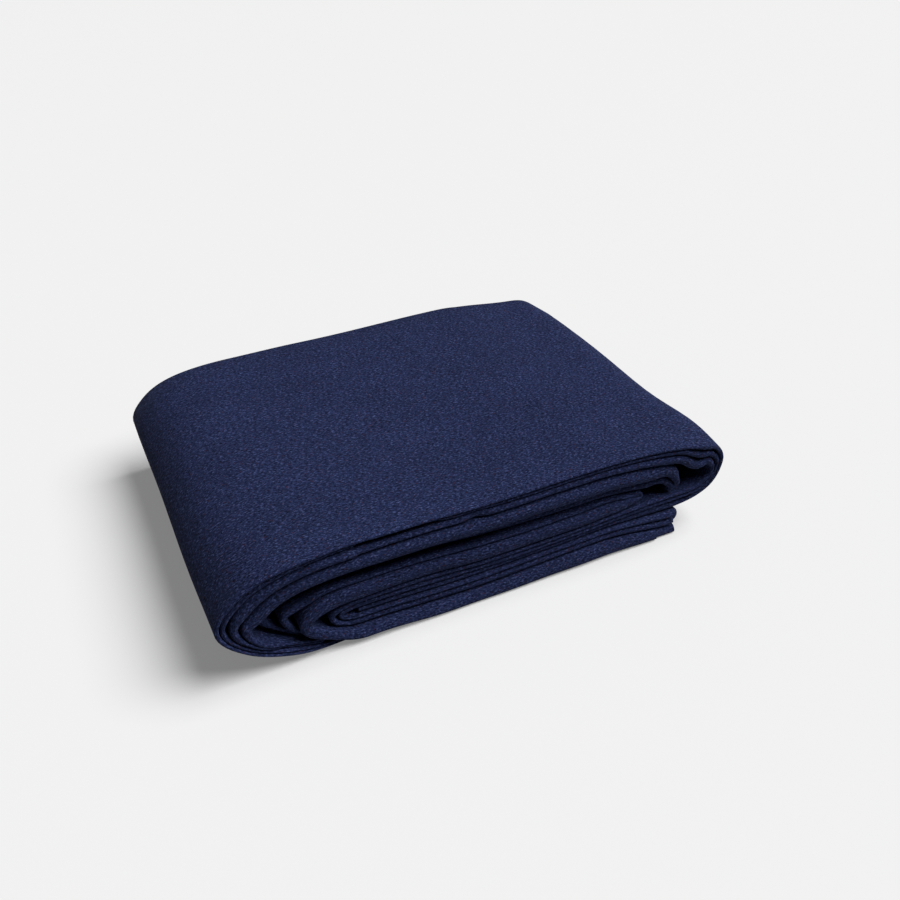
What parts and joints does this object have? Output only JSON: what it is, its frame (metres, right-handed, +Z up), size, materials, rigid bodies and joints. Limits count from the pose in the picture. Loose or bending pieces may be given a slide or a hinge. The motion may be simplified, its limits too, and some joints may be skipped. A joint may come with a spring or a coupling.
{
  "type": "folded emergency blanket",
  "caption": "Felted cloth blanket doubled and folded back and forth into a low, soft pile, with its outer layers wrapped round both ends.",
  "frame": {"origin": "centre of the pile's underside, on the surface it rests on", "axes": "+X along the front folded edge to the right, +Y from the front edge to the back hems, +Z up through the layers"},
  "size_m": [0.4219, 0.293, 0.093],
  "materials": {
    "blanket_cloth": "navy blue felted wool-blend cloth with a short nap and fine dark and rust-red flecks"
  },
  "bodies": {
    "root": {"blanket": "blanket_cloth"}
  },
  "joints": []
}
